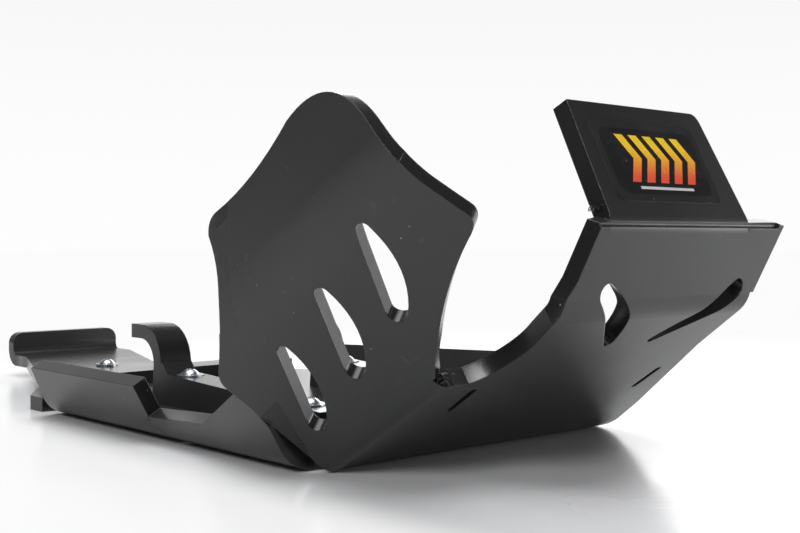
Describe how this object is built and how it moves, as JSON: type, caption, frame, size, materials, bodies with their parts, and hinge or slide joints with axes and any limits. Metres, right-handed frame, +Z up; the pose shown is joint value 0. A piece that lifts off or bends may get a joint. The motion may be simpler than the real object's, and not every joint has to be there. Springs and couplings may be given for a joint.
{
  "type": "motorcycle skid plate",
  "caption": "Skid plate for an off-road motorcycle: one folded plastic sheet with a ramp, nose, flap, side wing and flanks, a bolted linkage guard and frame hooks.",
  "frame": {"origin": "middle of the flat belly's underside, where the plate rests on a table", "axes": "+X forward, the way the motorcycle drives; +Y to the rider's left; +Z up, away from the ground"},
  "size_m": [0.5649, 0.2717, 0.1585],
  "materials": {
    "black_plastic": "satin black high-density polyethylene, lightly scuffed, with glossier routed edges",
    "zinc_steel": "bright zinc plating",
    "decal_film": "glossy printed film with a clear margin"
  },
  "bodies": {
    "root": {"skid_plate": "black_plastic", "linkage_guard": "black_plastic", "frame_hook_near": "black_plastic", "frame_hook_far": "black_plastic", "flap_decal": "decal_film", "hook_screw_near_rear": "zinc_steel", "hook_screw_near_front": "zinc_steel", "hook_screw_far_rear": "zinc_steel", "hook_screw_far_front": "zinc_steel", "hook_washer_near_rear": "zinc_steel", "hook_washer_near_front": "zinc_steel", "hook_washer_far_rear": "zinc_steel", "hook_washer_far_front": "zinc_steel", "hook_nut_near_rear": "zinc_steel", "hook_nut_near_front": "zinc_steel", "hook_nut_far_rear": "zinc_steel", "hook_nut_far_front": "zinc_steel", "guard_screw_middle": "zinc_steel", "guard_screw_near": "zinc_steel", "guard_screw_far": "zinc_steel", "guard_washer_middle": "zinc_steel", "guard_washer_near": "zinc_steel", "guard_washer_far": "zinc_steel", "guard_nut_middle": "zinc_steel", "guard_nut_near": "zinc_steel", "guard_nut_far": "zinc_steel"}
  },
  "joints": []
}
